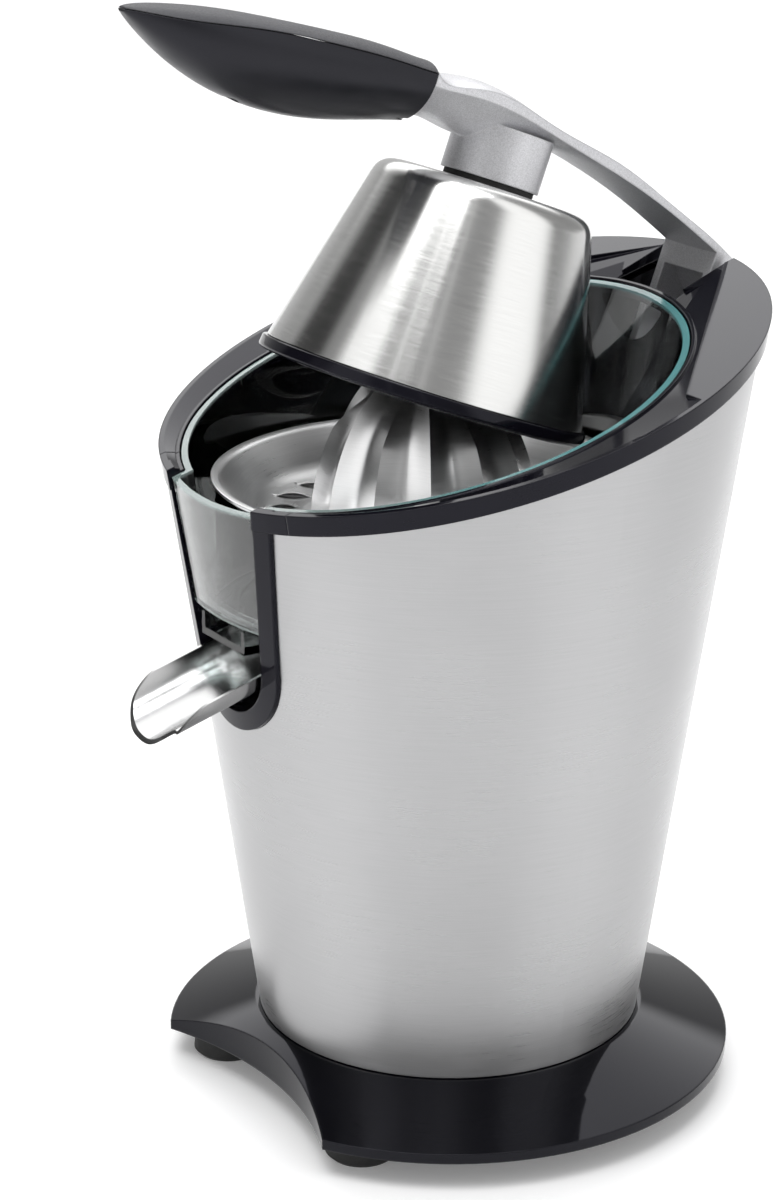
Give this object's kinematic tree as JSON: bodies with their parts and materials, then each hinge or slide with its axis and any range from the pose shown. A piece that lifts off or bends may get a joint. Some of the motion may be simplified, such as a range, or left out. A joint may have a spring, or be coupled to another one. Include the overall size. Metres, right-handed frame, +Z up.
{
  "type": "citrus press juicer",
  "caption": "Electric citrus press juicer: tapered steel body, sloping black rim, clear juice bowl with strainer and ribbed reamer, tilting spout, and a lever arm with a steel press cup.",
  "frame": {"origin": "on the table, under the middle of the overall box at rest", "axes": "+Z up, -Y towards the spout (the front), +Y towards the lever hinge, X from side to side"},
  "size_m": [0.206, 0.2385, 0.3863],
  "materials": {
    "gloss_black": "gloss",
    "matte_black": "matte",
    "soft_rubber": "matte",
    "brushed_skin": "satin",
    "bright_steel": "polished",
    "reamer_steel": "satin",
    "clear_bowl": "polished",
    "cast_silver": "satin",
    "grip_black": "satin",
    "grip_panel": "matte",
    "dome_black": "satin",
    "zinc_steel": "satin",
    "iron_core": "satin",
    "white_nylon": "satin",
    "bronze": "satin"
  },
  "bodies": {
    "housing": {"base_flange": "gloss_black", "rim_trim": "gloss_black", "front_frame": "gloss_black", "base_cover": "matte_black", "inner_liner": "matte_black", "hinge_pocket": "matte_black", "cord_gland": "matte_black", "deck": "matte_black", "rubber_feet": "soft_rubber", "spindle_seal": "soft_rubber", "housing_skin": "brushed_skin", "strainer": "bright_steel", "juice_bowl": "clear_bowl", "motor_plate": "zinc_steel", "motor_can": "zinc_steel", "motor_stator": "iron_core", "motor_end_cap": "white_nylon", "motor_bushes": "bronze", "spindle_bushes": "bronze", "output_carrier": "white_nylon", "idler_pin": "zinc_steel", "idler_washers": "white_nylon", "switch_body": "matte_black", "switch_bracket": "zinc_steel", "terminal_block": "white_nylon", "base_screws": "zinc_steel", "deck_screws": "zinc_steel", "plate_screws": "zinc_steel", "motor_screws": "zinc_steel", "hinge_pin": "zinc_steel", "friction_washers": "white_nylon", "spout_pins": "zinc_steel"},
    "output_wheel": {"output_gear": "white_nylon", "return_spring": "zinc_steel"},
    "idler": {"idler_gear": "white_nylon"},
    "rotor": {"motor_shaft": "zinc_steel", "motor_armature": "iron_core", "cooling_fan": "white_nylon", "motor_pinion": "zinc_steel"},
    "reamer_drive": {"spindle": "zinc_steel", "reamer": "reamer_steel"},
    "plunger": {"switch_plunger": "white_nylon"},
    "spout": {"spout": "bright_steel"},
    "arm": {"arm_beam": "cast_silver", "grip_bottom": "grip_black", "grip_top": "grip_panel", "grip_screws": "zinc_steel", "press_cup": "brushed_skin", "cup_ring": "gloss_black", "press_dome": "dome_black", "cup_spacer": "white_nylon", "cup_gasket": "soft_rubber", "cup_bolt": "zinc_steel", "hinge_bushes": "bronze"}
  },
  "joints": [
    {"name": "arm_hinge", "type": "hinge", "parent": "housing", "child": "arm", "pos_m": [0, 0.095, 0.234], "axis": [-1, 0, 0], "range_deg": [-20.5, 58]},
    {"name": "spout_tilt", "type": "hinge", "parent": "housing", "child": "spout", "pos_m": [0, -0.07093, 0.16144], "axis": [-1, 0, 0], "range_deg": [0, 20]},
    {"name": "drive_spin", "type": "hinge", "parent": "housing", "child": "output_wheel", "pos_m": [0, -0.008, 0.138], "axis": [0, 0, 1], "continuous": true},
    {"name": "idler_spin", "type": "hinge", "parent": "housing", "child": "idler", "pos_m": [0, 0.04, 0.13], "axis": [0, 0, 1], "continuous": true},
    {"name": "rotor_spin", "type": "hinge", "parent": "housing", "child": "rotor", "pos_m": [0, 0.004, 0.09], "axis": [0, 0, 1], "continuous": true},
    {"name": "reamer_press", "type": "slide", "parent": "output_wheel", "child": "reamer_drive", "axis": [0, 0, -1], "range_m": [0, 0.0022], "stiffness_N_per_m": 900, "springref_m": -0.008, "deforming": ["return_spring"]},
    {"name": "plunger_press", "type": "slide", "parent": "housing", "child": "plunger", "axis": [0, 0, -1], "range_m": [0, 0.0022]}
  ],
  "couplings": [
    {"joint": "idler_spin", "follows": "drive_spin", "ratio": -3.5714},
    {"joint": "rotor_spin", "follows": "drive_spin", "ratio": 17.857},
    {"joint": "plunger_press", "follows": "reamer_press", "ratio": 1}
  ]
}
